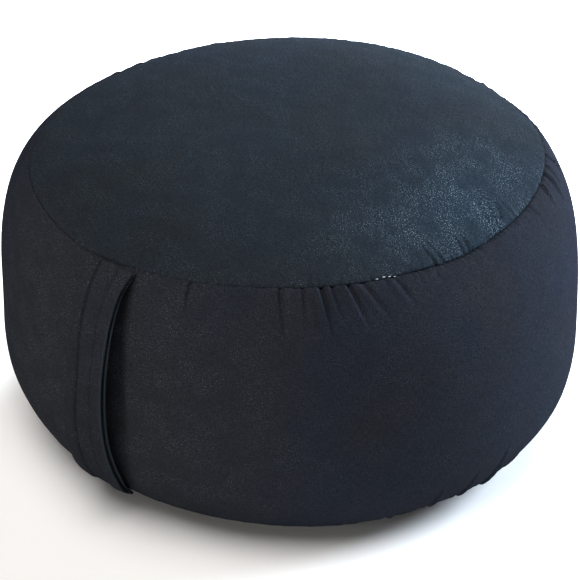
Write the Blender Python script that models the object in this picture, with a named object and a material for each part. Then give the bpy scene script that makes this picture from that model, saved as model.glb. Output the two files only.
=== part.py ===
"""Zafu meditation cushion: a round, firmly filled floor cushion.

Four sewn pieces, modelled in metres with +Z up.  The origin is the centre of
the flat underside, and the carry strap faces -Y.
    side_band     the filled body, whose outer wall is the cloth band
    top_panel     round cloth panel sewn to the band's upper edge
    bottom_panel  round cloth panel sewn to the band's lower edge
    carry_strap   double cloth strip sewn into both seams, bowed off the band
"""

import math

import bmesh
import bpy
from mathutils import Vector

# Heights above the floor.
FOOT_SEAM_HEIGHT = 0.0115      # seam between bottom panel and band
BELLY_HEIGHT = 0.0625          # where the band bulges furthest
TOP_SEAM_HEIGHT = 0.163        # seam between top panel and band
CROWN_HEIGHT = 0.177           # middle of the domed top

# Radii.
FLAT_RADIUS = 0.118            # flat part of the underside
FOOT_SEAM_RADIUS = 0.1465
BELLY_RADIUS = 0.165
TOP_SEAM_RADIUS = 0.144

# The filling has settled a little wider along X than along Y.
OVAL_AZIMUTH = math.radians(82)
BELLY_OVAL = 0.026
TOP_SEAM_OVAL = -0.024

# The strap pulls the top seam down where it is sewn in.
STRAP_DIP = 0.004
STRAP_DIP_SPREAD = math.radians(19)
# The seam also sinks a little at the back, opposite the strap.
BACK_DIP = 0.004
BACK_DIP_AZIMUTH = math.radians(162)
BACK_DIP_SPREAD = math.radians(24)

# Fullness of the bulge above and below the belly, as superellipse powers.
UPPER_FULLNESS = 3.36
LOWER_FULLNESS = 2.26
DOME_POWER = 4

# Cloth.
PANEL_CLOTH = 0.0018
STRAP_WIDTH = 0.030
STRAP_CLOTH = 0.0024           # two layers
STRAP_STANDOFF = 0.0098        # finger gap at mid-height
SEAM_LEDGE = 0.0015            # the band's edge stands this far past a panel
GAP = 0.0003                   # left between touching pieces

# Mesh fineness.
COLUMNS = 72
WALL_ROWS = 24
PANEL_ROWS = 9
STRAP_ROWS = 40
STRAP_COLUMNS = 6


def hump(azimuth, centre, spread):
    """A smooth bump of height 1 at the centre azimuth."""
    turn = (azimuth - centre + math.pi) % math.tau - math.pi
    return math.exp(-((turn / spread) ** 2))


def belly_radius(azimuth):
    return BELLY_RADIUS * (1 + BELLY_OVAL * math.cos(2 * (azimuth - OVAL_AZIMUTH)))


def top_seam_radius(azimuth):
    return TOP_SEAM_RADIUS * (1 + TOP_SEAM_OVAL * math.cos(2 * (azimuth - OVAL_AZIMUTH)))


def top_seam_height(azimuth):
    strap_dip = STRAP_DIP * hump(azimuth, 0, STRAP_DIP_SPREAD)
    back_dip = BACK_DIP * hump(azimuth, BACK_DIP_AZIMUTH, BACK_DIP_SPREAD)
    return TOP_SEAM_HEIGHT - strap_dip - back_dip


def top_height(azimuth, share):
    """Height of the domed top at a share of the way out to its seam."""
    rim = share ** DOME_POWER
    return CROWN_HEIGHT * (1 - rim) + top_seam_height(azimuth) * rim


def foot_height(radius):
    """Height of the underside: flat, then curving up to its seam."""
    rise = max(0.0, radius - FLAT_RADIUS) / (FOOT_SEAM_RADIUS - FLAT_RADIUS)
    return FOOT_SEAM_HEIGHT * rise ** 2


def bulge(edge_radius, edge_height, fullness, azimuth, steps=60):
    """Points (radius, height) from a seam edge to the belly, on a superellipse."""
    belly = belly_radius(azimuth)
    edge_share = edge_radius / belly
    reach = (edge_height - BELLY_HEIGHT) / (1 - edge_share ** fullness) ** (1 / fullness)
    start = math.acos(edge_share ** (fullness / 2))
    points = []
    for step in range(steps + 1):
        angle = start * (1 - step / steps)
        radius = belly * math.cos(angle) ** (2 / fullness)
        height = BELLY_HEIGHT + reach * math.sin(angle) ** (2 / fullness)
        points.append((radius, height))
    return points


def even_points(points, count):
    """The same curve with its points evenly spaced along it."""
    lengths = [0.0]
    for near, far in zip(points, points[1:]):
        lengths.append(lengths[-1] + math.dist(near, far))
    spaced = []
    index = 0
    for step in range(count + 1):
        target = lengths[-1] * step / count
        while index < len(points) - 2 and lengths[index + 1] < target:
            index += 1
        part = (target - lengths[index]) / (lengths[index + 1] - lengths[index])
        near, far = points[index], points[index + 1]
        spaced.append((near[0] + (far[0] - near[0]) * part, near[1] + (far[1] - near[1]) * part))
    return spaced


def wall_profile(azimuth, count):
    """Evenly spaced (radius, height) points down the band at one azimuth."""
    top_radius = top_seam_radius(azimuth) + SEAM_LEDGE
    top_edge = top_seam_height(azimuth) - PANEL_CLOTH - GAP
    foot_radius = FOOT_SEAM_RADIUS + SEAM_LEDGE
    foot_edge = FOOT_SEAM_HEIGHT + PANEL_CLOTH + GAP
    upper = bulge(top_radius, top_edge, UPPER_FULLNESS, azimuth)
    lower = bulge(foot_radius, foot_edge, LOWER_FULLNESS, azimuth)
    return even_points(upper + lower[::-1][1:], count)


def body_profile(azimuth):
    """The filled body, from the middle of its top to the middle of its base."""
    inset = PANEL_CLOTH + GAP
    points = []
    for row in range(PANEL_ROWS + 1):
        share = row / PANEL_ROWS
        points.append((top_seam_radius(azimuth) * share, top_height(azimuth, share) - inset))
    points += wall_profile(azimuth, WALL_ROWS)
    for row in range(PANEL_ROWS + 1):
        radius = FOOT_SEAM_RADIUS * (1 - row / PANEL_ROWS)
        points.append((radius, foot_height(radius) + inset))
    return points


def top_panel_profile(azimuth):
    """The top panel, from the middle of its face round its rim to its back."""
    points = []
    for row in range(PANEL_ROWS + 1):
        share = row / PANEL_ROWS
        points.append((top_seam_radius(azimuth) * share, top_height(azimuth, share)))
    back = [(radius, height - PANEL_CLOTH) for radius, height in reversed(points)]
    return points + back


def bottom_panel_profile(azimuth):
    """The bottom panel, from the middle of its back round its rim to its face."""
    face = []
    for row in range(PANEL_ROWS + 1):
        radius = FOOT_SEAM_RADIUS * row / PANEL_ROWS
        face.append((radius, foot_height(radius)))
    back = [(radius, height + PANEL_CLOTH) for radius, height in face]
    return back + face[::-1]


def turn(name, profile):
    """Spin a profile round Z, then place every point for its own azimuth."""
    mesh = bmesh.new()
    row_of = mesh.verts.layers.int.new("row")
    chain = []
    for row, (radius, height) in enumerate(profile(0.0)):
        vertex = mesh.verts.new((0, -radius, height))
        vertex[row_of] = row
        chain.append(vertex)
    edges = [mesh.edges.new(pair) for pair in zip(chain, chain[1:])]
    bmesh.ops.spin(mesh, geom=chain + edges, cent=(0, 0, 0), axis=(0, 0, 1),
                   angle=math.tau, steps=COLUMNS, use_merge=True)
    profiles = {}
    for vertex in mesh.verts:
        if math.hypot(vertex.co.x, vertex.co.y) < 1e-6:
            continue
        azimuth = math.atan2(vertex.co.x, -vertex.co.y)
        column = round(azimuth * COLUMNS / math.tau)
        if column not in profiles:
            profiles[column] = profile(column * math.tau / COLUMNS)
        radius, height = profiles[column][vertex[row_of]]
        azimuth = column * math.tau / COLUMNS
        vertex.co = (radius * math.sin(azimuth), -radius * math.cos(azimuth), height)
    bmesh.ops.remove_doubles(mesh, verts=mesh.verts, dist=1e-5)
    bmesh.ops.recalc_face_normals(mesh, faces=mesh.faces)
    return finish(name, mesh)


def strap_point(across, down):
    """A point on the strap's inner face; across is in metres, down from 0 to 1."""
    azimuth = across / BELLY_RADIUS
    wall = wall_profile(azimuth, STRAP_ROWS)
    row = round(down * STRAP_ROWS)
    above = wall[max(row - 1, 0)]
    below = wall[min(row + 1, STRAP_ROWS)]
    outward = Vector((above[1] - below[1], below[0] - above[0])).normalized()
    offset = GAP + STRAP_STANDOFF * math.sin(math.pi * down)
    radius = wall[row][0] + outward.x * offset
    height = wall[row][1] + outward.y * offset
    return Vector((radius * math.sin(azimuth), -radius * math.cos(azimuth), height))


def strap(name):
    """A grid laid down the band's front and thickened to two layers of cloth."""
    mesh = bmesh.new()
    bmesh.ops.create_grid(mesh, x_segments=STRAP_COLUMNS, y_segments=STRAP_ROWS, size=0.5)
    for vertex in mesh.verts:
        across = vertex.co.x * STRAP_WIDTH
        down = 0.5 - vertex.co.y
        vertex.co = strap_point(across, down)
    bmesh.ops.recalc_face_normals(mesh, faces=mesh.faces)
    if next(iter(mesh.faces)).normal.y > 0:
        bmesh.ops.reverse_faces(mesh, faces=mesh.faces)
    piece = finish(name, mesh)
    layers = piece.modifiers.new("Two layers", "SOLIDIFY")
    layers.thickness = STRAP_CLOTH
    layers.offset = 1
    layers.use_even_offset = True
    return piece


def finish(name, mesh):
    data = bpy.data.meshes.new(name)
    mesh.to_mesh(data)
    mesh.free()
    data.shade_smooth()
    data.set_sharp_from_angle(angle=math.radians(40))
    piece = bpy.data.objects.new(name, data)
    bpy.context.scene.collection.objects.link(piece)
    return piece


def cloth(piece, colour, roughness):
    """Give a piece its own woven-cotton material."""
    material = bpy.data.materials.new(piece.name + "_cloth")
    material.use_nodes = True
    shader = material.node_tree.nodes["Principled BSDF"]
    shader.inputs["Base Color"].default_value = (*colour, 1)
    shader.inputs["Roughness"].default_value = roughness
    shader.inputs["Metallic"].default_value = 0
    piece.data.materials.append(material)


for leftover in list(bpy.data.objects):
    bpy.data.objects.remove(leftover)

cloth(turn("side_band", body_profile), (0.016, 0.019, 0.026), 0.9)
cloth(turn("top_panel", top_panel_profile), (0.017, 0.024, 0.034), 0.85)
cloth(turn("bottom_panel", bottom_panel_profile), (0.015, 0.018, 0.024), 0.9)
cloth(strap("carry_strap"), (0.014, 0.016, 0.022), 0.9)
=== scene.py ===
# %% [markdown]
# # A zafu, sewn and filled
#
# A zafu is a round sitting cushion.  Four pieces of dark cotton make it: a
# round top, a round bottom, a long band between them, and a carry strap sewn
# into both seams.  The frame that is loaded here holds the plain solids with
# their real sizes.  This lesson gives each one its cloth: the bulge, the
# seams, the gathers, the strap and the weave.

# %% Load the plain solids
import bisect
import math
import bmesh
import bpy
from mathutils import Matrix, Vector, noise


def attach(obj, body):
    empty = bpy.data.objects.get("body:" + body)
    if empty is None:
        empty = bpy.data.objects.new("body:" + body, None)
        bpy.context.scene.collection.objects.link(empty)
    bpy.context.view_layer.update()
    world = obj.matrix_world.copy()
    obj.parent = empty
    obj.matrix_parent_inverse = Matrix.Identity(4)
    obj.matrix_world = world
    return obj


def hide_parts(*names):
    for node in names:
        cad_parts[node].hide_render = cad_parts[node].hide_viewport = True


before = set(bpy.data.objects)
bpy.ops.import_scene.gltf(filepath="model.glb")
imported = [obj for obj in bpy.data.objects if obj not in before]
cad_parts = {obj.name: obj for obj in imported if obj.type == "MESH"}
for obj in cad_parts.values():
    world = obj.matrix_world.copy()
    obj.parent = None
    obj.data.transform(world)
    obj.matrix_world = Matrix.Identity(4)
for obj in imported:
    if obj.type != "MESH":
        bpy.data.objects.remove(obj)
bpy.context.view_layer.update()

scene = bpy.context.scene

# %% [markdown]
# ## Tables
#
# What is placed one by one, such as lights and gathers, is written in short
# tables: a line of column names, then a row for each thing.  Lengths are in
# metres and angles in degrees.

# %% Tables with named columns, and other helpers
def table(columns, *rows):
    """One dictionary for each row, keyed by the columns; a short row leaves the last ones out."""
    names = columns.split()
    return [dict(zip(names, row)) for row in rows]


def polar(azimuth, radius, height):
    """A point from an azimuth (0 is -Y, turning towards +X), a radius and a height."""
    return Vector((radius * math.sin(azimuth), -radius * math.cos(azimuth), height))


def placed(name, data):
    """Put a new object with this data in the scene."""
    thing = bpy.data.objects.new(name, data)
    scene.collection.objects.link(thing)
    return thing


def mesh_of(name, shape):
    mesh = bpy.data.meshes.new(name)
    shape.to_mesh(mesh)
    return mesh


print(table("name height", ("a row", 0.1)))

# %% [markdown]
# ## The camera
#
# The camera looks from the right of the strap and from above, well back with a
# long lens, so the round top keeps an almost even oval.  A camera looks along
# its own -Z axis, so to_track_quat turns the direction from the cushion to the
# camera into a rotation.

# %% Camera
CAMERA_TURN = math.radians(40)
CAMERA_RISE = 31.57
CAMERA_DISTANCE = 1.6
AIM = Vector((0, 0, 0.085))


def direction(turn, rise):
    """A unit vector; turn is measured round from the camera's side, rise from the floor."""
    rise = math.radians(rise)
    return polar(CAMERA_TURN + math.radians(turn), math.cos(rise), math.sin(rise))


camera_data = bpy.data.cameras.new("camera")
camera_data.lens = 173.6
camera_data.sensor_width = 36.0
camera_data.shift_x = 0.0016
camera_data.shift_y = -0.0324
camera = placed("camera", camera_data)
towards_camera = direction(0, CAMERA_RISE)
camera.location = AIM + towards_camera * CAMERA_DISTANCE
camera.rotation_euler = towards_camera.to_track_quat("Z", "Y").to_euler()
scene.camera = camera
print("camera at", [round(x, 3) for x in camera.location])

# %% [markdown]
# ## Floor and light
#
# The floor is a wide white sheet that the light takes to full white.  Two near
# windows, one at the right and one behind, graze the cloth from low down and
# throw the soft shadow to the front left.  Being near, they light the right
# rim more than the left.  Two wide suns fill in, and the surroundings add very
# little, so the shadow stays dark where the cushion meets the floor.

# %% Floor and surroundings
FLOOR_SIZE = 6
FLOOR_WHITE = 0.92
SURROUNDING_LIGHT = 0.07


def plain_material(name, colour, roughness):
    """A material without any shine, of one colour until nodes are added to it."""
    material = bpy.data.materials.new(name)
    material.use_nodes = True
    shader = material.node_tree.nodes["Principled BSDF"]
    shader.inputs["Base Color"].default_value = (*colour, 1)
    shader.inputs["Roughness"].default_value = roughness
    shader.inputs["Specular IOR Level"].default_value = 0.0
    return material


floor_shape = bmesh.new()
bmesh.ops.create_grid(floor_shape, x_segments=1, y_segments=1, size=FLOOR_SIZE)
floor = placed("floor", mesh_of("floor", floor_shape))
floor_shape.free()
floor.data.materials.append(plain_material("white_floor", (FLOOR_WHITE,) * 3, 1.0))

surroundings = bpy.data.worlds.new("surroundings")
surroundings.use_nodes = True
sky = surroundings.node_tree.nodes["Background"]
sky.inputs["Color"].default_value = (1, 1, 1, 1)
sky.inputs["Strength"].default_value = SURROUNDING_LIGHT
scene.world = surroundings
scene.view_settings.view_transform = "Standard"
print("floor", FLOOR_SIZE * 2, "m wide")

# %% Lights
# Soft suns: where each comes from and how wide it looks.
SUNS = table(
    "name turn rise wide strength colour",
    ("overhead", -45, 75, 50, 2.95, (1.00, 0.97, 0.94)),
    ("front_fill", -50, 9, 36, 1.22, (1.00, 0.955, 0.905)),
)
# Near windows; their strength is the light at the cushion.
WINDOWS = table(
    "name turn distance height size strength colour",
    ("right_window", 95, 0.6, 0.34, 0.3, 7.0, (0.79, 0.89, 1.00)),
    ("back_window", 165, 0.6, 0.24, 0.3, 13.6, (0.79, 0.89, 1.00)),
)
LIT_MIDDLE = Vector((0, 0, 0.1))


def place_light(row, kind, energy, location):
    """Add one light that shines towards the cushion, unseen by the camera itself."""
    light_data = bpy.data.lights.new(row["name"], kind)
    light_data.energy = energy
    light_data.color = row["colour"]
    light = placed(row["name"], light_data)
    light.location = location
    light.rotation_euler = (location - LIT_MIDDLE).to_track_quat("Z", "Y").to_euler()
    light.visible_camera = False
    return light_data


for row in SUNS:
    sun = place_light(row, "SUN", row["strength"], LIT_MIDDLE + direction(row["turn"], row["rise"]))
    sun.angle = math.radians(row["wide"])
for row in WINDOWS:
    place = direction(row["turn"], 0) * row["distance"] + Vector((0, 0, row["height"]))
    window = place_light(row, "AREA", row["strength"] * math.pi * row["distance"] ** 2, place)
    window.shape = "DISK"
    window.size = row["size"]

# %% [markdown]
# ## The shape the filling gives
#
# Seen from the side, the band leaves the top seam, swells to the belly and
# tucks back under to the lower seam.  A superellipse, a rounded box with a
# power that sets how square it is, draws each half of that bulge.  The sizes
# are the plain solids' own.  The filling has settled unevenly: the cushion is
# a little oval, and its top seam dips where the strap pulls on it.

# %% Sizes of the filled shape
FOOT_SEAM_HEIGHT = 0.0115
BELLY_HEIGHT = 0.0625
TOP_SEAM_HEIGHT = 0.163
CROWN_HEIGHT = 0.177
FLAT_RADIUS = 0.118
FOOT_SEAM_RADIUS = 0.1465
BELLY_RADIUS = 0.165
TOP_SEAM_RADIUS = 0.144
OVAL_AZIMUTH = math.radians(82)
BELLY_OVAL = 0.026
TOP_SEAM_OVAL = -0.024
UPPER_FULLNESS = 3.36
LOWER_FULLNESS = 2.26
DOME_POWER = 4

TOP_LEAN = 0.0014
TOP_LEAN_AZIMUTH = math.radians(-50)
# Places where the top seam rises or sinks.
SEAM_LIFTS = table(
    "azimuth lift spread",
    (-2, -0.0041, 19),
    (10, 0.0014, 8),
    (34, 0.0007, 12),
    (80, -0.0016, 9),
    (162, -0.0042, 24),
    (-88, -0.0012, 24),
    (127, 0.0014, 22),
)
# Where the filling stands a little higher under the top, and how far out that is.
TOP_LUMPS = table(
    "azimuth out rise spread",
    (85, 0.045, 0.003, 0.045),
)
# Places where the lower seam stands out, or is drawn in under the cushion.
FOOT_TUCKS = table(
    "azimuth out spread",
    (12, -0.0048, 34),
    (55, 0.002, 16),
    (84, 0.0028, 13),
)


def hump(distance, spread):
    """A smooth bump: 1 at no distance, fading over the spread."""
    return math.exp(-((distance / spread) ** 2))


def turn_between(azimuth, centre):
    """The angle from one azimuth to another, the short way round."""
    return (azimuth - centre + math.pi) % math.tau - math.pi


def added(rows, column, azimuth, start=0.0):
    """Start from a value and add one column of a table, each row fading over its spread."""
    for row in rows:
        turn = turn_between(azimuth, math.radians(row["azimuth"]))
        start += row[column] * hump(turn, math.radians(row["spread"]))
    return start


def oval(radius, azimuth, amount):
    return radius * (1 + amount * math.cos(2 * (azimuth - OVAL_AZIMUTH)))


def belly_radius(azimuth):
    return oval(BELLY_RADIUS, azimuth, BELLY_OVAL)


def top_seam_radius(azimuth):
    return oval(TOP_SEAM_RADIUS, azimuth, TOP_SEAM_OVAL)


def top_seam_height(azimuth):
    level = TOP_SEAM_HEIGHT + TOP_LEAN * math.cos(azimuth - TOP_LEAN_AZIMUTH)
    return added(SEAM_LIFTS, "lift", azimuth, level)


def foot_seam_radius(azimuth):
    return added(FOOT_TUCKS, "out", azimuth, FOOT_SEAM_RADIUS)


def top_height(azimuth, share):
    """Height of the domed top at a share of the way out to its seam."""
    rim = share ** DOME_POWER
    height = CROWN_HEIGHT * (1 - rim) + top_seam_height(azimuth) * rim
    here = polar(azimuth, share * TOP_SEAM_RADIUS, 0)
    for lump in TOP_LUMPS:
        away = (here - polar(math.radians(lump["azimuth"]), lump["out"], 0)).length
        height += lump["rise"] * hump(away, lump["spread"])
    return height


def foot_height(radius, seam_radius):
    """Height of the underside: flat, then curving up to its seam."""
    rise = max(0.0, radius - FLAT_RADIUS) / (seam_radius - FLAT_RADIUS)
    return FOOT_SEAM_HEIGHT * rise ** 2


def azimuth_of(point):
    return math.atan2(point.x, -point.y)


print("oval belly", round(belly_radius(OVAL_AZIMUTH) * 2, 4), "by",
      round(belly_radius(OVAL_AZIMUTH + math.pi / 2) * 2, 4), "m")

# %% [markdown]
# ## The band's curve
#
# bulge() walks the superellipse from a seam's edge to the belly.  The upper
# and lower halves are joined and then spaced evenly along their length, so the
# faces that follow are nearly square.  Each curve is kept once worked out,
# because every row of the band asks for it again.

# %% Curve from seam to seam
CURVE_STEPS = 80
band_curves = {}


def bulge(edge_radius, edge_height, fullness, azimuth):
    """Points (radius, height) of a superellipse from a seam's edge to the belly."""
    belly = belly_radius(azimuth)
    edge_highlight_share = edge_radius / belly
    reach = (edge_height - BELLY_HEIGHT) / (1 - edge_highlight_share ** fullness) ** (1 / fullness)
    start = math.acos(edge_highlight_share ** (fullness / 2))
    points = []
    for step in range(CURVE_STEPS + 1):
        angle = start * (1 - step / CURVE_STEPS)
        points.append((belly * math.cos(angle) ** (2 / fullness),
                       BELLY_HEIGHT + reach * math.sin(angle) ** (2 / fullness)))
    return points


def band_curve(azimuth):
    """The band's (radius, height, metres from the top seam) points at one azimuth."""
    key = round(math.degrees(azimuth) % 360, 3)
    if key not in band_curves:
        upper = bulge(top_seam_radius(azimuth), top_seam_height(azimuth), UPPER_FULLNESS, azimuth)
        lower = bulge(foot_seam_radius(azimuth), FOOT_SEAM_HEIGHT, LOWER_FULLNESS, azimuth)
        points = upper + lower[::-1][1:]
        curve = [(*points[0], 0.0)]
        for near, far in zip(points, points[1:]):
            curve.append((*far, curve[-1][2] + math.dist(near, far)))
        band_curves[key] = curve
    return band_curves[key]


def band_point(azimuth, share):
    """The point of the band a share of the way from the top seam to the lower one."""
    curve = band_curve(azimuth)
    target = share * curve[-1][2]
    after = bisect.bisect_right(curve, target, key=lambda spot: spot[2])
    after = min(after, len(curve) - 1)
    near, far = curve[after - 1], curve[after]
    part = (target - near[2]) / (far[2] - near[2])
    radius, height = (low + (high - low) * part for low, high in zip(near[:2], far[:2]))
    return polar(azimuth, radius, height)


BAND_DEPTH = band_curve(0.0)[-1][2]
print("band measures", round(BAND_DEPTH, 4), "m from seam to seam")

# %% [markdown]
# ## Turning a piece of cloth
#
# The round pieces all start the same way: a chain of points is spun round the
# Z axis, then each point moves to the place that its own azimuth gives it.
# A layer keeps each point's share of the way down the chain.  The spin copies
# it, and later steps read it again.

# %% Spin a chain and place its points
CROWD_AZIMUTH = math.radians(68)
CROWDING = 0.38
INSIDE = Vector((0, 0, 0.08))


def crowded(azimuth):
    """Shift a column's azimuth so the columns stand closer where the gathers are."""
    return azimuth - CROWDING * math.sin(azimuth - CROWD_AZIMUTH)


def face_outwards(shape):
    """Turn every face of an open cloth away from the middle of the cushion."""
    if sum((f.calc_center_median() - INSIDE).dot(f.normal) for f in shape.faces) < 0:
        bmesh.ops.reverse_faces(shape, faces=shape.faces)


def turned_cloth(place, shares, columns):
    """Spin a chain and put each of its points where place(azimuth, share) says."""
    shape = bmesh.new()
    share_layer = shape.verts.layers.float.new("share")
    chain = []
    for share in shares:
        point = shape.verts.new(place(0.0, share))
        point[share_layer] = share
        chain.append(point)
    edges = [shape.edges.new(pair) for pair in zip(chain, chain[1:])]
    bmesh.ops.spin(shape, geom=chain + edges, cent=(0, 0, 0), axis=(0, 0, 1),
                   angle=math.tau, steps=columns, use_merge=True)
    for point in shape.verts:
        if math.hypot(point.co.x, point.co.y) > 1e-6:
            column = round(azimuth_of(point.co) * columns / math.tau)
            point.co = place(crowded(column * math.tau / columns), point[share_layer])
    bmesh.ops.remove_doubles(shape, verts=shape.verts, dist=1e-6)
    bmesh.ops.recalc_face_normals(shape, faces=shape.faces)
    face_outwards(shape)
    return shape


def seam_shares(rows, crowding):
    """Rows that stand closer near both seams; crowding 0 is even."""
    return [row / rows - crowding * math.sin(math.tau * row / rows) / math.tau
            for row in range(rows + 1)]


def as_piece(name, shape):
    """Make an object of a finished shape, shaded smooth."""
    mesh = mesh_of(name, shape)
    mesh.shade_smooth()
    return placed(name, mesh)


BAND_COLUMNS = 536
BAND_ROWS = 44
BAND_CROWDING = 0.72
band = turned_cloth(band_point, seam_shares(BAND_ROWS, BAND_CROWDING), BAND_COLUMNS)
print("band starts with", len(band.faces), "faces")

# %% [markdown]
# ## Filling the cushion
#
# A cloth simulation puts the band under pressure from inside while its two
# edges are held, as the seams hold them.  The cloth is told that it was cut a
# little wider than the seams it is sewn to, and how far a point may move is
# capped.  The effect is very small: the curve above is already the filled
# shape and the points are heavy, so in its few frames the cloth moves by less
# than a tenth of a millimetre.  The bulge comes from the curve, and the folds
# come from the tables that follow.

# %% Pressure simulation
FILL_FRAMES = 20
FILL_CAP = 0.0022
EASE_EVERYWHERE = 0.01
EASE_DEPTH = 0.022
# How the cotton resists being stretched, sheared and bent, and the pressure inside it.
COTTON = {
    "quality": 6, "mass": 0.2, "air_damping": 2,
    "tension_stiffness": 25, "compression_stiffness": 25,
    "shear_stiffness": 8, "bending_stiffness": 0.6,
    "use_pressure": True, "uniform_pressure_force": 4,
}
# Extra cloth eased into each seam, as a share of its length.
EASED_AT_TOP = table(
    "azimuth spread extra",
    (46, 14, 0.05),
    (118, 16, 0.05),
    (-34, 10, 0.03),
    (-150, 40, 0.04),
)
EASED_AT_FOOT = table(
    "azimuth spread extra",
    (84, 16, 0.06),
    (-110, 50, 0.04),
)


def eased(azimuth, share):
    """How much wider than its place the cloth was cut."""
    extra = EASE_EVERYWHERE
    for rows, from_seam in ((EASED_AT_TOP, share), (EASED_AT_FOOT, 1 - share)):
        near = math.exp(-from_seam * BAND_DEPTH / EASE_DEPTH)
        extra += added(rows, "extra", azimuth) * near
    return extra


def filled(shape, held, cut_place):
    """Run the cloth under pressure and move the shape's points to where it settled."""
    piece = as_piece("cut_cloth", shape)
    sewn = piece.vertex_groups.new(name="sewn")
    sewn.add([point.index for point in held], 1.0, "REPLACE")
    piece.shape_key_add(name="in place")
    as_cut = piece.shape_key_add(name="as cut")
    for point in shape.verts:
        as_cut.data[point.index].co = cut_place(point)
    cloth = piece.modifiers.new("filling", "CLOTH")
    for setting, value in COTTON.items():
        setattr(cloth.settings, setting, value)
    cloth.settings.vertex_group_mass = "sewn"
    cloth.settings.rest_shape_key = as_cut
    cloth.settings.effector_weights.gravity = 0
    cloth.collision_settings.use_collision = False
    cloth.point_cache.frame_start = 1
    cloth.point_cache.frame_end = FILL_FRAMES
    for number in range(1, FILL_FRAMES + 1):
        scene.frame_set(number)
    settled = piece.evaluated_get(bpy.context.evaluated_depsgraph_get())
    furthest = 0.0
    for point in shape.verts:
        move = settled.data.vertices[point.index].co - point.co
        furthest = max(furthest, move.length)
        if move.length > FILL_CAP:
            move *= FILL_CAP / move.length
        point.co += move
    scene.frame_set(1)
    bpy.data.objects.remove(piece)
    return furthest


def band_cut_place(point):
    azimuth = azimuth_of(point.co)
    wider = 1 + eased(azimuth, point[band_share])
    return Vector((point.co.x * wider, point.co.y * wider, point.co.z))


band.verts.index_update()
band_share = band.verts.layers.float["share"]
edges_held = [v for v in band.verts if v[band_share] < 1e-4 or v[band_share] > 1 - 1e-4]
reach = filled(band, edges_held, band_cut_place)
print("the pressure moved the band by up to", round(reach * 1000, 3), "mm before the cap")

# %% [markdown]
# ## From coarse cloth to fine cloth
#
# One Catmull-Clark level doubles the rows and columns.  Its result is read back
# into a bmesh with the layers still on it, ready for the fine work.

# %% Smooth subdivision
def finer(shape):
    """One level of subdivision, read back into a new shape."""
    piece = as_piece("coarse_cloth", shape)
    modifier = piece.modifiers.new("finer", "SUBSURF")
    modifier.levels = 1
    modifier.render_levels = 1
    modifier.use_limit_surface = False
    evaluated = piece.evaluated_get(bpy.context.evaluated_depsgraph_get())
    fine = bmesh.new()
    fine.from_mesh(evaluated.data)
    fine.verts.index_update()
    shape.free()
    bpy.data.objects.remove(piece)
    return fine


band = finer(band)
print("band now has", len(band.faces), "faces")

# %% [markdown]
# ## Gathers
#
# Where extra cloth was eased into a seam it stands in short folds that fade
# out towards the belly.  Each is a soft trough with a low ridge beside it.
# The table gives one row to each: where it leaves the seam, how far it runs,
# how it leans, how wide and deep it is, and on which side its ridge stands.

# %% Gathers in the band, one row each
TOP_GATHERS = table(
    "azimuth run lean width depth side",
    (19.6, 0.013, 0.02, 0.001, 0.0019, -1),
    (17.8, 0.011, 0, 0.0012, 0.0003, -1),
    (26, 0.01, 0, 0.0014, 0.0002, 1),
    (38.2, 0.02, 0.12, 0.0012, 0.0018, 1),
    (43.1, 0.016, 0.06, 0.0013, 0.0013, 1),
    (46.7, 0.022, 0.2, 0.0013, 0.0024, -1),
    (48.9, 0.015, 0.26, 0.0011, 0.0017, -1),
    (52.5, 0.017, 0.36, 0.0013, 0.0024, -1),
    (55.6, 0.015, 0.55, 0.0016, 0.0012, -1),
    (62.6, 0.013, 0.45, 0.0016, 0.0012, -1),
    (72, 0.012, 0.2, 0.0014, 0.0003, 1),
    (106, 0.012, 0.05, 0.0013, 0.0007, 1),
    (115.6, 0.01, -0.3, 0.0011, 0.0016, 1),
    (120.5, 0.015, -0.05, 0.0011, 0.0022, 1),
    (124.4, 0.01, -0.14, 0.001, 0.0013, 1),
    (129.1, 0.013, 0.2, 0.0011, 0.002, 1),
    (150, 0.016, 0.1, 0.0016, 0.0007, 1),
    (171, 0.02, -0.1, 0.0018, 0.0009, -1),
    (176, 0.015, 0.1, 0.0016, 0.0006, 1),
    (-148, 0.018, -0.2, 0.0018, 0.0008, 1),
    (-120, 0.014, 0.1, 0.0018, 0.0006, -1),
    (-96, 0.017, -0.1, 0.0018, 0.0007, 1),
    (-61, 0.012, 0, 0.0018, 0.0003, 1),
    (-36.2, 0.016, -0.18, 0.0016, 0.0008, 1),
    (-31.5, 0.018, 0, 0.0016, 0.0003, -1),
)
FOOT_GATHERS = table(
    "azimuth run lean width depth side",
    (91.5, 0.016, 0.1, 0.0009, 0.0017, 1),
    (84, 0.027, 0.1, 0.001, 0.0025, 1),
    (77.5, 0.022, 0.08, 0.0009, 0.0019, 1),
    (70, 0.02, 0.05, 0.0009, 0.0018, 1),
    (60, 0.012, 0, 0.0016, 0.0008, 1),
    (118, 0.018, -0.1, 0.0018, 0.0012, -1),
    (139, 0.022, 0.1, 0.002, 0.0012, 1),
    (168, 0.016, 0, 0.002, 0.001, 1),
    (-166, 0.024, -0.1, 0.0022, 0.0013, -1),
    (-131, 0.018, 0.1, 0.002, 0.001, 1),
    (-104, 0.022, -0.1, 0.0022, 0.0012, -1),
    (-72, 0.016, 0.05, 0.002, 0.0008, 1),
    (-40, 0.014, 0, 0.002, 0.0007, 1),
)
# The ridge beside a trough: its share of the depth, how many widths away, how much wider.
RIDGE_SHARE = 0.55
RIDGE_AWAY = 2.2
RIDGE_WIDER = 1.3
FADE_OUT = 1.5
WIDTHS_FELT = 6


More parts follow.
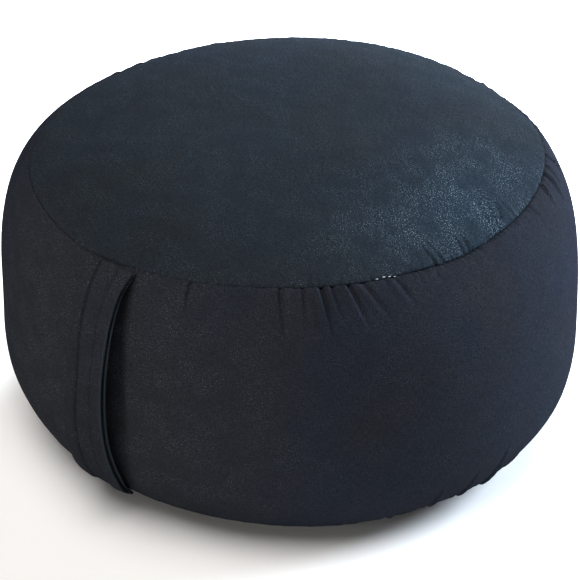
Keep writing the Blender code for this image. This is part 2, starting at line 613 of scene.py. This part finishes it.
def gather_depth(rows, azimuth, from_seam, radius):
    """How far the gathers of one seam sink the cloth at this place."""
    total = 0.0
    for row in rows:
        end = row["run"] * FADE_OUT
        if from_seam > end:
            continue
        along = turn_between(azimuth, math.radians(row["azimuth"])) * radius
        across = along - row["lean"] * from_seam
        if abs(across) > row["width"] * WIDTHS_FELT:
            continue
        fade = max(0.0, 1 - (from_seam / end) ** 2) ** 1.5
        if "start" in row:
            fade *= min(1.0, from_seam / row["start"])
        trough = hump(across, row["width"])
        from_ridge = across - row["side"] * RIDGE_AWAY * row["width"]
        ridge = hump(from_ridge, row["width"] * RIDGE_WIDER)
        total += row["depth"] * fade * (trough - RIDGE_SHARE * ridge)
    return total


print(len(TOP_GATHERS), "gathers at the top seam,", len(FOOT_GATHERS), "at the lower one")

# %% [markdown]
# ## Needle puckers and the seam's valley
#
# Every stitch draws the two cloths together, so both roll down into a narrow
# valley, and tiny puckers cross it about one stitch apart.  Smooth noise read
# round the seam gives the puckers, stronger at the front right where the cloth
# was eased in, and almost none at the left.  notch() adds the dark bites that
# each pair of stitches takes out of the seam.

# %% Seam details
VALLEY_DEPTH = 0.0013
VALLEY_WIDTH = 0.0008
ROLL_DEPTH = 0.0004
ROLL_WIDTH = 0.0045
PUCKER_PITCH = 0.0042
PUCKER_RUN = 0.0065
PUCKER_LEAST = 0.00008

# How strongly the seam puckers.
PUCKERED = table(
    "azimuth spread height",
    (62, 26, 0.00034),
    (105, 26, 0.00028),
    (30, 16, 0.00022),
    (180, 50, 0.0003),
    (-110, 40, 0.00026),
)
# Where the valley is deeper or shallower than usual.
VALLEY_CHANGES = table(
    "azimuth spread change",
    (-35, 26, -0.85),
    (0, 7, 0.5),
    (92, 34, 0.4),
)


def seam_valley(azimuth, from_seam):
    """The sharp valley at the stitches and the gentle roll of cloth towards it."""
    depth = added(VALLEY_CHANGES, "change", azimuth, 1.0)
    valley = VALLEY_DEPTH * math.exp(-from_seam / VALLEY_WIDTH)
    return depth * (valley + ROLL_DEPTH * hump(from_seam, ROLL_WIDTH))


def round_noise(azimuth, size, seed):
    """Smooth noise read along a circle, so that it meets itself at the back."""
    return noise.noise(Vector((math.sin(azimuth) * size, math.cos(azimuth) * size, seed)))


def pucker(azimuth, from_seam, radius):
    """The small wave that the needle leaves, up or down."""
    strength = added(PUCKERED, "height", azimuth, PUCKER_LEAST)
    wave = round_noise(azimuth, radius / PUCKER_PITCH, 7.3)
    return 2.2 * strength * wave * math.exp(-from_seam / PUCKER_RUN)


# The bites: how far apart, how deep, how far they run and where they are deepest.
NOTCH_PITCH = 0.0040
NOTCH_DEPTH = 0.0015
NOTCH_RUN = 0.0016
NOTCH_WANDERS = 14
NOTCHED_AZIMUTH = math.radians(74)
NOTCHED_SPREAD = math.radians(48)


def notch(azimuth, from_seam, radius):
    """Small bites in the seam, where each pair of stitches pulls the cloth in."""
    strength = 0.25 + 0.75 * hump(turn_between(azimuth, NOTCHED_AZIMUTH), NOTCHED_SPREAD)
    wander = round_noise(azimuth, NOTCH_WANDERS, 1.7)
    bite = 0.5 + 0.5 * math.cos(math.tau * azimuth * radius / NOTCH_PITCH + 4 * wander)
    return NOTCH_DEPTH * strength * (0.7 + wander) * bite ** 3 * math.exp(-from_seam / NOTCH_RUN)


def settled_unevenness(point, height, size, seed):
    """A slow wander of the surface, where the filling has not packed evenly."""
    return height * noise.noise(Vector((point.x / size + seed, point.y / size, point.z / size)))


# %% Work the band's surface
# The strap draws the band in behind it: a shallow channel with firm shoulders.
CHANNEL_AZIMUTH = math.radians(0.4)
CHANNEL_HALF_WIDTH = 0.0170
CHANNEL_SHOULDER = 0.0050
CHANNEL_DEPTH = 0.0042


def strap_channel(azimuth, share, radius):
    """How far the band sinks behind the strap."""
    across = abs(turn_between(azimuth, CHANNEL_AZIMUTH)) * radius
    inside = (CHANNEL_HALF_WIDTH + CHANNEL_SHOULDER - across) / (2 * CHANNEL_SHOULDER)
    inside = min(1.0, max(0.0, inside))
    inside = inside * inside * (3 - 2 * inside)
    return CHANNEL_DEPTH * inside * math.sin(math.pi * share) ** 0.8


def push_along_normals(shape, how_far):
    """Move every point along its normal, all of them measured before any moves."""
    shape.normal_update()
    moves = [point.normal * how_far(point) for point in shape.verts]
    for point, move in zip(shape.verts, moves):
        point.co += move


def band_move(point):
    azimuth = azimuth_of(point.co)
    radius = math.hypot(point.co.x, point.co.y)
    below = point[band_share] * BAND_DEPTH
    above = BAND_DEPTH - below
    move = -gather_depth(TOP_GATHERS, azimuth, below, radius)
    move -= gather_depth(FOOT_GATHERS, azimuth, above, radius)
    move -= seam_valley(azimuth, below) + seam_valley(azimuth, above)
    move += pucker(azimuth, below, radius) + pucker(azimuth + 2.4, above, radius)
    move -= notch(azimuth, below, TOP_SEAM_RADIUS)
    move -= strap_channel(azimuth, point[band_share], radius)
    inland = min(1.0, below / 0.03, above / 0.03)
    return move + inland * settled_unevenness(point.co, 0.0011, 0.055, 3.1)


band_share = band.verts.layers.float["share"]
push_along_normals(band, band_move)
print("band worked")

# %% [markdown]
# ## Turning the band's edges in
#
# At both seams the band's edge turns into the cushion.  The open edge loops
# are extruded inwards for that allowance, and the last loop is filled, which
# closes the body under the panels.

# %% Seam allowances and closing faces
def open_loop(shape, top):
    """The open edges of the upper or the lower seam."""
    edges = [e for e in shape.edges if e.is_boundary]
    return [e for e in edges if (e.verts[0].co.z > INSIDE.z) == top]


def turn_in(shape, top, inward, drop):
    """Extrude one open edge loop towards the middle and down or up by drop."""
    made = bmesh.ops.extrude_edge_only(shape, edges=open_loop(shape, top))
    for point in (x for x in made["geom"] if isinstance(x, bmesh.types.BMVert)):
        flat = Vector((point.co.x, point.co.y, 0))
        point.co -= flat.normalized() * inward
        point.co.z += drop


for top, sign in ((True, -1), (False, 1)):
    turn_in(band, top, 0.0010, 0.0012 * sign)
    turn_in(band, top, 0.0040, 0.0022 * sign)
    bmesh.ops.edgeloop_fill(band, edges=open_loop(band, top))
bmesh.ops.recalc_face_normals(band, faces=band.faces)
print("open edges left:", sum(e.is_boundary for e in band.edges), " volume",
      round(band.calc_volume() * 1000, 2), "litres")

# %% [markdown]
# ## A cloth map in metres
#
# The weave has to follow the cloth, so each piece gets a UV map that is laid
# out like the flat cut piece and measured in metres.  For the band that is the
# distance round and the distance down.  A face that crosses the back, where
# the azimuth jumps from half a turn to minus half, is unwrapped the long way.

# %% UV maps
def map_cloth(shape, place):
    """place(point) gives a flat position in metres and how far it is round, for wrapping."""
    layer = shape.loops.layers.uv.new("cloth")
    for face in shape.faces:
        spots = [place(loop.vert) for loop in face.loops]
        first = spots[0][0]
        for loop, (across, down, wrap) in zip(face.loops, spots):
            if wrap and across - first > wrap / 2:
                across -= wrap
            elif wrap and first - across > wrap / 2:
                across += wrap
            loop[layer].uv = (across, down)


def finished(name, shape, place):
    """Lay the cloth map on a shape and make it an object."""
    map_cloth(shape, place)
    piece = as_piece(name, shape)
    shape.free()
    print(name, "has", len(piece.data.polygons), "faces")
    return piece


def band_spot(point):
    girth = math.tau * BELLY_RADIUS
    return azimuth_of(point.co) * BELLY_RADIUS, -point[band_share] * BAND_DEPTH, girth


band_share = band.verts.layers.float["share"]
side_band = finished("filled_side_band", band, band_spot)

# %% [markdown]
# ## The top panel
#
# The round top is spun from its middle to its seam, with more rows near the
# seam where the folds are.  It domes over the filling, rolls down into the
# seam's valley, and carries the other half of the puckers, with a few longer
# ones at the right.  Some begin a little inside the seam, by the last column.

# %% Top panel
TOP_COLUMNS = 1000
TOP_ROWS = 36
PANEL_CLOTH = 0.0012

TOP_PUCKERS = table(
    "azimuth run lean width depth side start",
    (69, 0.006, -0.1, 0.0007, 0.00015, 1),
    (73.6, 0.011, -0.14, 0.0007, 0.00095, 1),
    (75.7, 0.01, -0.16, 0.0007, 0.0008, 1),
    (81.6, 0.011, 0.12, 0.0008, 0.00095, 1),
    (83.2, 0.01, 0.24, 0.0007, 0.00078, 1),
    (88, 0.006, 0, 0.0007, 0.00012, -1),
    (91.6, 0.018, 0.6, 0.0009, 0.0014, 1, 0.006),
    (93.4, 0.018, 0.75, 0.0009, 0.0017, 1, 0.006),
    (95.3, 0.017, 0.85, 0.0009, 0.0015, 1, 0.005),
    (99.8, 0.01, 0.45, 0.0008, 0.0011, 1, 0.003),
    (107, 0.008, 0.1, 0.0008, 0.00015, 1),
    (150, 0.01, 0.1, 0.0012, 0.0004, 1),
    (-160, 0.012, -0.1, 0.0012, 0.0004, -1),
    (-100, 0.01, 0, 0.0012, 0.0003, 1),
)
PANEL_LIP = 0.0007
PANEL_NOTCHED = 0.7


def top_point(azimuth, share):
    radius = (top_seam_radius(azimuth) - PANEL_LIP) * share
    return polar(azimuth, radius, top_height(azimuth, share))


def crowded_shares(rows, crowding):
    """Rows that crowd together towards the seam."""
    return [1 - (1 - row / rows) ** crowding for row in range(rows + 1)]


top = turned_cloth(top_point, crowded_shares(TOP_ROWS, 1.5), TOP_COLUMNS)
top_share = top.verts.layers.float["share"]


def top_move(point):
    azimuth = azimuth_of(point.co)
    share = min(1.0, point[top_share])
    radius = max(1e-4, math.hypot(point.co.x, point.co.y))
    inside = (1 - share) * TOP_SEAM_RADIUS
    move = -gather_depth(TOP_PUCKERS, azimuth, inside, radius)
    move -= seam_valley(azimuth, inside) + PANEL_NOTCHED * notch(azimuth, inside, TOP_SEAM_RADIUS)
    if inside < 0.03:
        move += pucker(azimuth + 0.4, inside, radius)
    return move + settled_unevenness(point.co, 0.0012, 0.07, 9.7) * min(1.0, inside / 0.03)


push_along_normals(top, top_move)


def flat_spot(point):
    return point.co.x, point.co.y, 0.0


top_panel = finished("domed_top_panel", top, flat_spot)

# %% [markdown]
# ## The bottom panel
#
# Underneath, the cloth lies flat on the floor and curves up to the lower seam
# over the last few centimetres.

# %% Bottom panel
def bottom_point(azimuth, share):
    seam_radius = foot_seam_radius(azimuth) - PANEL_LIP
    return polar(azimuth, seam_radius * share, foot_height(seam_radius * share, seam_radius))


BOTTOM_COLUMNS = 360
BOTTOM_ROWS = 24
bottom = turned_cloth(bottom_point, crowded_shares(BOTTOM_ROWS, 1.3), BOTTOM_COLUMNS)
bottom_share = bottom.verts.layers.float["share"]
for point in bottom.verts:
    azimuth = azimuth_of(point.co)
    inside = (1 - min(1.0, point[bottom_share])) * FOOT_SEAM_RADIUS
    rise = pucker(azimuth + 2.4, inside, FOOT_SEAM_RADIUS) if inside < 0.02 else 0.0
    point.co.z = max(0.0, point.co.z + rise + seam_valley(azimuth, inside))
bottom_panel = finished("flat_bottom_panel", bottom, flat_spot)


# %% Give the panels their thickness
def thicken(piece, thickness, offset):
    """Cloth thickness; offset -1 keeps the outer face where it is."""
    layer = piece.modifiers.new("cloth thickness", "SOLIDIFY")
    layer.thickness = thickness
    layer.offset = offset
    layer.use_even_offset = True


thicken(top_panel, PANEL_CLOTH, -1)
thicken(bottom_panel, PANEL_CLOTH, -1)

# %% [markdown]
# ## The carry strap
#
# The strap is one strip of cotton folded in half along its length, with its
# raw edges turned in and facing right.  It is modelled as that: a hairpin
# section, swept from the top seam to the lower one.  Between them it stands
# off the band by a finger's thickness, and it leans a little to the left as it
# goes down.  The hem shows through as a raised strip along its edges, and the
# stitching presses the two layers together at the lower end.

# %% Sizes of the strap
STRAP_WIDTH = 0.0308
STRAP_LAYER = 0.0012
STRAP_SPACE = 0.0022
STRAP_PRESSED = 0.0012
STRAP_SIT = 0.0016
STRAP_ARCH = 0.0010
STRAP_ROWS = 110
STRAP_FOLD_STEPS = 5
STRAP_FACE_STEPS = 44
# Shares of the way down: over how much the two layers part and come together
# again, where they are closed, and how much of the end is pressed flat.
STRAP_OPENING = 0.22
STRAP_CLOSED_AT = 0.94
STRAP_SEWN = 0.05
STRAP_HEM = 0.0085
STRAP_HEM_RISE = 0.0012
STRAP_HEM_GROOVE = 0.0013
STRAP_WAVER = 0.00035

# Where the strap runs: share of the way down, azimuth of its middle, and how
# far its right and left edges stand off the band.
STRAP_RUN = table(
    "share azimuth right left",
    (0, 1.6, 0.0006, 0),
    (0.08, 0.9, 0.0046, 0),
    (0.2, 0.3, 0.0062, 0.0002),
    (0.4, 0, 0.0086, 0.0012),
    (0.6, -0.85, 0.006, 0.0026),
    (0.8, -0.8, 0.002, 0.0021),
    (0.9, -1.5, 0.0006, 0.0005),
    (1, -3.1, -0.0014, -0.0012),
)


def along_run(column, share):
    """Read one column of STRAP_RUN with a Catmull-Rom curve through its rows."""
    last = len(STRAP_RUN) - 1
    for number in range(last):
        near, far = STRAP_RUN[number], STRAP_RUN[number + 1]
        if share <= far["share"]:
            break
    before = STRAP_RUN[max(0, number - 1)][column]
    after = STRAP_RUN[min(last, number + 2)][column]
    part = (share - near["share"]) / (far["share"] - near["share"])
    start, end = near[column], far[column]
    return (start + 0.5 * part * (end - before + part * (2 * before - 5 * start + 4 * end - after
            + part * (3 * (start - end) + after - before))))


# %% Shape of the strap
def strap_section():
    """Hairpin of (across, depth, side) points: front right to left, fold, back."""
    half, deep = STRAP_WIDTH / 2, STRAP_SPACE / 2
    steps = [STRAP_WIDTH * step / STRAP_FACE_STEPS for step in range(STRAP_FACE_STEPS + 1)]
    angles = [math.pi * step / STRAP_FOLD_STEPS for step in range(1, STRAP_FOLD_STEPS)]
    return ([(half - step, deep, "front") for step in steps]
            + [(-half - math.sin(angle) * deep, math.cos(angle) * deep, "fold") for angle in angles]
            + [(step - half, -deep, "back") for step in steps])


def strap_place(share, across, depth, side):
    """Where a point of the section lies, a share of the way down the strap."""
    azimuth = math.radians(along_run("azimuth", share))
    middle = band_point(azimuth, share)
    step = 0.004
    slope = band_point(azimuth, min(1, share + step)) - band_point(azimuth, max(0, share - step))
    sideways = Vector((math.cos(azimuth), math.sin(azimuth), 0))
    outward = slope.cross(sideways).normalized()
    if outward.dot(polar(azimuth, 1, 0)) < 0:
        outward = -outward
    rightness = 0.5 + across / STRAP_WIDTH
    stand = along_run("left", share) * (1 - rightness) + along_run("right", share) * rightness
    stand += STRAP_SIT + STRAP_ARCH * math.sin(math.pi * share) * (1 - (2 * rightness - 1) ** 2)
    sag = across * across / (2 * BELLY_RADIUS) * (0.35 + 0.65 * abs(2 * share - 1) ** 2)
    opened = max(0.0, min(1.0, share / STRAP_OPENING, (STRAP_CLOSED_AT - share) / STRAP_OPENING))
    opened = opened * opened * (3 - 2 * opened)
    free = 1 - 0.8 * hump(1 - share, STRAP_SEWN)
    lift = depth * (opened + (1 - opened) * free * STRAP_PRESSED / STRAP_SPACE)
    if side == "front":
        edge = min(STRAP_WIDTH / 2 - across, STRAP_WIDTH / 2 + across * 0.98)
        step_in = 1 / (1 + math.exp((edge - STRAP_HEM) / 0.0005))
        groove = STRAP_HEM_GROOVE * hump(edge - STRAP_HEM - 0.0006, 0.0010)
        lift += free * STRAP_HEM_RISE * step_in - groove
        wander = noise.noise(Vector((across / 0.011, share * BAND_DEPTH / 0.03, 2.2)))
        lift += STRAP_WAVER * wander * math.sin(math.pi * share)
    return middle + sideways * across + outward * (stand + lift - sag)


# %% Sweep the strap
strap = bmesh.new()
strap_down = strap.verts.layers.float.new("share")
strap_across = strap.verts.layers.float.new("across")
section = strap_section()
row_above = []
unrolled = 0.0
spread_across = [0.0]
for near, far in zip(section, section[1:]):
    unrolled += math.dist(near[:2], far[:2])
    spread_across.append(unrolled)
for spot, flat in zip(section, spread_across):
    point = strap.verts.new(strap_place(0.0, *spot))
    point[strap_across] = flat
    row_above.append(point)
edges = [strap.edges.new(pair) for pair in zip(row_above, row_above[1:])]
by_flat = {round(flat, 6): spot for flat, spot in zip(spread_across, section)}
for row in range(1, STRAP_ROWS + 1):
    made = bmesh.ops.extrude_edge_only(strap, edges=edges)
    edges = [x for x in made["geom"] if isinstance(x, bmesh.types.BMEdge)]
    share = row / STRAP_ROWS
    for point in {v for e in edges for v in e.verts}:
        spot = by_flat[round(point[strap_across], 6)]
        point.co = strap_place(share, *spot)
        point[strap_down] = share
bmesh.ops.recalc_face_normals(strap, faces=strap.faces)


def strap_spot(point):
    return point[strap_across], -point[strap_down] * BAND_DEPTH, 0.0


carry_strap = finished("folded_carry_strap", strap, strap_spot)
thicken(carry_strap, STRAP_LAYER, 0)
softer = carry_strap.modifiers.new("soft edges", "BEVEL")
softer.width = 0.0003
softer.segments = 2
softer.limit_method = "ANGLE"
print("strap: unrolled", round(unrolled * 1000, 1), "mm wide,",
      round(BAND_DEPTH * 1000, 1), "mm along the band")

# %% [markdown]
# ## Stitches
#
# The thread lies down in the seam's valley and can hardly be seen.  At the
# front, where the seam is pulled open a little, a few stitches catch the
# light.  One stitch is a small flattened ball, turned to lie along the seam.

# %% Stitches along the top seam
STITCH_PITCH = 0.0036
STITCH_LENGTH = 0.0015
STITCH_THICKNESS = 0.00055
OPEN_SEAM_AZIMUTH = math.radians(60.3)
OPEN_SEAM_SPREAD = math.radians(2.5)
OPEN_SEAM_RISE = 0.0042
HIDDEN_DEPTH = 0.0034


def one_stitch():
    """A small flattened ball, long in Z."""
    ball = bmesh.new()
    bmesh.ops.create_uvsphere(ball, u_segments=8, v_segments=5, radius=0.5)
    bmesh.ops.scale(ball, vec=(STITCH_THICKNESS, STITCH_THICKNESS, STITCH_LENGTH), verts=ball.verts)
    mesh = mesh_of("stitch", ball)
    ball.free()
    return mesh


stitch = one_stitch()
stitching = bmesh.new()
stitch_count = round(math.tau * TOP_SEAM_RADIUS / STITCH_PITCH)
for number in range(stitch_count):
    azimuth = math.tau * number / stitch_count
    opened = hump(turn_between(azimuth, OPEN_SEAM_AZIMUTH), OPEN_SEAM_SPREAD)
    lift = OPEN_SEAM_RISE * opened - HIDDEN_DEPTH
    radius = top_seam_radius(azimuth) - PANEL_LIP / 2 + lift * 0.6
    middle = polar(azimuth, radius, top_seam_height(azimuth) + lift * 0.8)
    ahead = polar(azimuth + 0.01, radius, top_seam_height(azimuth + 0.01) + lift * 0.8)
    turn = (ahead - middle).to_track_quat("Z", "Y").to_matrix()
    stitching.from_mesh(stitch)
    stitching.verts.ensure_lookup_table()
    for point in stitching.verts[-len(stitch.vertices):]:
        point.co = turn @ point.co + middle
seam_stitches = as_piece("seam_stitches", stitching)
stitching.free()
print(stitch_count, "stitches")

# %% [markdown]
# ## Dyed cotton
#
# Midnight-navy cotton is nearly black, so what shows is small: a plain weave a
# little over half a millimetre from thread to thread, thicker threads here and
# there, a slow change between charcoal and navy, and pale ends of fibres.  Two
# paler places are painted light: a bluish painted sheen at the right of the
# top, where most of the top's pale fibre ends gather as painted glints, and a
# greyer pool of painted light round the strap.  A pale painted highlight runs
# along both edges of the strap.  The weave is the product of two sine waves,
# one for each set of threads.

# %% Helpers for node graphs
def add_node(tree, kind, **values):
    made = tree.nodes.new(kind)
    for key, value in values.items():
        setattr(made, key, value)
    return made


def wire(tree, source, target):
    tree.links.new(source, target)


def maths(tree, operation, first, second=None):
    """A maths node; each input is a number or a socket."""
    made = add_node(tree, "ShaderNodeMath", operation=operation)
    for socket, value in zip(made.inputs, (first, second)):
        if value is None:
            continue
        if isinstance(value, (int, float)):
            socket.default_value = value
        else:
            wire(tree, value, socket)
    return made.outputs[0]


def stretched_noise(tree, coordinates, scale, detail=2.0):
    """Noise whose size differs along and across the cloth; scale is in repeats per metre."""
    placing = add_node(tree, "ShaderNodeMapping")
    placing.inputs["Scale"].default_value = (*scale, 1)
    wire(tree, coordinates, placing.inputs["Vector"])
    made = add_node(tree, "ShaderNodeTexNoise")
    made.inputs["Scale"].default_value = 1.0
    made.inputs["Detail"].default_value = detail
    wire(tree, placing.outputs[0], made.inputs["Vector"])
    return made.outputs["Fac"]


def ramp(tree, value, low, high):
    """Stretch the range from low to high over 0 to 1."""
    made = add_node(tree, "ShaderNodeMapRange", clamp=True)
    wire(tree, value, made.inputs["Value"])
    made.inputs["From Min"].default_value = low
    made.inputs["From Max"].default_value = high
    return made.outputs[0]


def blend_colours(tree, amount, first, second, mode="MIX"):
    """Mix two colours; each input is a number, a colour or a socket."""
    made = add_node(tree, "ShaderNodeMix", data_type="RGBA", blend_type=mode)
    for number, value in ((0, amount), (6, first), (7, second)):
        socket = made.inputs[number]
        if isinstance(value, (int, float)):
            socket.default_value = value
        elif isinstance(value, tuple):
            socket.default_value = (*value, 1)
        else:
            wire(tree, value, socket)
    return made.outputs[2]


# %% Threads, patches of painted light and painted edge highlights
THREAD_PITCH = 0.00060
THREADS_WANDER = 14.0
# Width of the painted highlight along the strap's edges.
EDGE_HIGHLIGHT_WIDTH = 0.0005


def plain_weave(tree, cloth, across, down):
    """Threads over and under, none of them quite straight."""
    repeat = math.pi / THREAD_PITCH
    wander = maths(tree, "MULTIPLY", stretched_noise(tree, cloth, (170, 170)), THREADS_WANDER)
    warp_phase = maths(tree, "ADD", maths(tree, "MULTIPLY", across, repeat), wander)
    weft_phase = maths(tree, "SUBTRACT", maths(tree, "MULTIPLY", down, repeat), wander)
    return maths(tree, "MULTIPLY", maths(tree, "SINE", warp_phase), maths(tree, "SINE", weft_phase))


def lit_patch_share(tree, uv, dye, rubbed):
    """How strongly the patch of painted light lies on each place, 0 to 1, with an edge that the dye
    makes uneven.
    """
    from_place = add_node(tree, "ShaderNodeVectorMath", operation="DISTANCE")
    wire(tree, uv, from_place.inputs[0])
    from_place.inputs[1].default_value = (*rubbed["place"], 0)
    unevenly = maths(tree, "ADD", from_place.outputs["Value"], maths(tree, "MULTIPLY", dye, 0.05))
    lit_amount = ramp(tree, unevenly, rubbed["reach"], rubbed["core"])
    if "rim" in rubbed:
        out = add_node(tree, "ShaderNodeVectorMath", operation="LENGTH")
        wire(tree, uv, out.inputs[0])
        lit_amount = maths(tree, "MULTIPLY", lit_amount, ramp(tree, out.outputs["Value"], *rubbed["rim"]))
    return lit_amount


def edge_highlight_share(tree, across, down, width):
    """Where the painted highlight lies: 1 along both edges of a strip of this width, fading before
    its ends.
    """
    off_middle = maths(tree, "ABSOLUTE", maths(tree, "SUBTRACT", across, width / 2))
    edge = ramp(tree, off_middle, width / 2 - EDGE_HIGHLIGHT_WIDTH, width / 2 - EDGE_HIGHLIGHT_WIDTH / 2)
    from_half_way = maths(tree, "ABSOLUTE", maths(tree, "ADD", down, BAND_DEPTH / 2))
    between_ends = ramp(tree, from_half_way, BAND_DEPTH * 0.44, BAND_DEPTH * 0.30)
    return maths(tree, "MULTIPLY", edge, between_ends)


# %% The cotton itself
# The pale colour of the painted highlight along the strap's edges.
EDGE_HIGHLIGHT = (0.028, 0.037, 0.047)
GRAIN = 0.55
RELIEF = 0.0003
ROUGHNESS = 0.6


def dyed_cotton(name, charcoal, navy, fibre, turn, rubbed=None, strip=None):
    """Plain-woven cotton: the fibre colour colours the loose ends, which on the top
    are mostly painted glints, turn lays the weave at an angle, the patch row gives a
    paler place of painted light, and strip is a width whose edges get a painted
    highlight."""
    material = plain_material(name, charcoal, ROUGHNESS)
    tree = material.node_tree
    shader = tree.nodes["Principled BSDF"]
    uv = add_node(tree, "ShaderNodeUVMap", uv_map="cloth").outputs[0]
    placing = add_node(tree, "ShaderNodeMapping")
    placing.inputs["Rotation"].default_value = (0, 0, math.radians(turn))
    wire(tree, uv, placing.inputs["Vector"])
    cloth = placing.outputs[0]
    parts = add_node(tree, "ShaderNodeSeparateXYZ")
    wire(tree, cloth, parts.inputs[0])
    across, down = parts.outputs[0], parts.outputs[1]

    # The weave, thicker threads both ways, and loose fibres over them.
    weave = plain_weave(tree, cloth, across, down)
    slubs = maths(tree, "ADD", stretched_noise(tree, cloth, (300, 1500)),
                  stretched_noise(tree, cloth, (1500, 300)))
    fuzz = stretched_noise(tree, cloth, (1300, 1300), detail=2)

    # Colour: slow changes of dye, a patch of painted light, thread by thread, then
    # the pale fibre ends (mostly painted glints on the top) and the strap's painted
    # edge highlight.
    dye = stretched_noise(tree, cloth, (20, 16), detail=5)
    colour = blend_colours(tree, ramp(tree, dye, 0.35, 0.65), charcoal, navy)
    ends_and_glints = ramp(tree, stretched_noise(tree, cloth, (1550, 1550), detail=0), 0.63, 0.79)
    patches = ramp(tree, stretched_noise(tree, cloth, (55, 70), detail=2), 0.36, 0.62)
    ends_and_glints = maths(tree, "MULTIPLY", ends_and_glints, patches)
    # A paler patch of painted light: a painted sheen on the top, a pool of painted light round the
    # strap.
    if rubbed:
        lit_amount = lit_patch_share(tree, uv, dye, rubbed)
        colour = blend_colours(tree, lit_amount, colour, rubbed["colour"])
        # The top's pale fibre ends gather mostly in its patch, as painted glints of the sheen.
        ends_and_glints = maths(tree, "MULTIPLY", ends_and_glints, maths(tree, "ADD", rubbed["elsewhere"], lit_amount))
    grain = maths(tree, "ADD", ramp(tree, slubs, 0.70, 1.30), ramp(tree, fuzz, 0.30, 0.70))
    grey = add_node(tree, "ShaderNodeCombineColor")
    for socket in grey.inputs[:3]:
        wire(tree, grain, socket)
    colour = blend_colours(tree, GRAIN, colour, grey.outputs[0], "MULTIPLY")
    colour = blend_colours(tree, ends_and_glints, colour, fibre)
    # A pale painted highlight along both edges of the strap.
    if strip:
        colour = blend_colours(tree, edge_highlight_share(tree, across, down, strip), colour, EDGE_HIGHLIGHT)
    wire(tree, colour, shader.inputs["Base Color"])

    # Relief: the weave, the slubs and the loose fibres.
    slubs = maths(tree, "MULTIPLY", slubs, 0.8)
    relief = maths(tree, "ADD", maths(tree, "MULTIPLY", weave, 0.14), slubs)
    relief = maths(tree, "ADD", relief, fuzz)
    bump = add_node(tree, "ShaderNodeBump")
    bump.inputs["Distance"].default_value = RELIEF
    bump.inputs["Strength"].default_value = 1.0
    wire(tree, relief, bump.inputs["Height"])
    wire(tree, bump.outputs[0], shader.inputs["Normal"])
    return material


# %% Give each piece its cotton
# A patch of painted light: its middle in the cloth map, how far it is at full
# strength, how far it reaches, its colour, the share of fibre ends elsewhere, and
# where its rim fades.  The top's is a bluish painted sheen; the band's is a
# greyer pool of painted light round the strap.
top_painted_sheen, band_painted_light = table(
    "place core reach colour elsewhere rim",
    ((0.118, 0.000), 0.028, 0.118, (0.0164, 0.0262, 0.0380), 0.2, (0.045, 0.105)),
    # The band's row: a greyer pool of painted light round the strap.
    ((-0.015, -0.085), 0.060, 0.190, (0.0198, 0.0210, 0.0247), 0.5),
)
# One cloth in three lit copies: the top's colours are tinted more teal and the strap's made a
# little paler than the band's, painted light for the sheen on the top and the light on the strap.
COTTONS = table(
    "name charcoal navy fibre turn rubbed strip",
    ("band_cotton", (0.0162, 0.0178, 0.0228), (0.0146, 0.0177, 0.0255),
     (0.066, 0.074, 0.092), 0, band_painted_light),
    ("top_cotton", (0.0160, 0.0190, 0.0230), (0.0150, 0.0193, 0.0256),
     (0.200, 0.270, 0.330), 12, top_painted_sheen),
    ("strap_cotton", (0.0176, 0.0190, 0.0230), (0.0162, 0.0183, 0.0234),
     (0.060, 0.066, 0.080), 0, None, unrolled),
)
band_cotton, top_cotton, strap_cotton = [dyed_cotton(**row) for row in COTTONS]
THREAD_BLUE = (0.42, 0.48, 0.56)
thread_cotton = plain_material("seam_thread", THREAD_BLUE, 0.5)

for piece, cotton in ((side_band, band_cotton), (top_panel, top_cotton),
                      (bottom_panel, band_cotton), (carry_strap, strap_cotton),
                      (seam_stitches, thread_cotton)):
    piece.data.materials.append(cotton)
print("materials:", [m.name for m in bpy.data.materials])

# %% [markdown]
# ## Tying the cloth to the frame
#
# Each piece rides on the object's one body and stands for the plain solid
# whose place it takes; the plain solids are hidden.

for piece in (side_band, top_panel, bottom_panel, carry_strap, seam_stitches):
    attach(piece, "root")
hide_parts("side_band")
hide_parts("top_panel")
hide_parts("bottom_panel")
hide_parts("carry_strap")
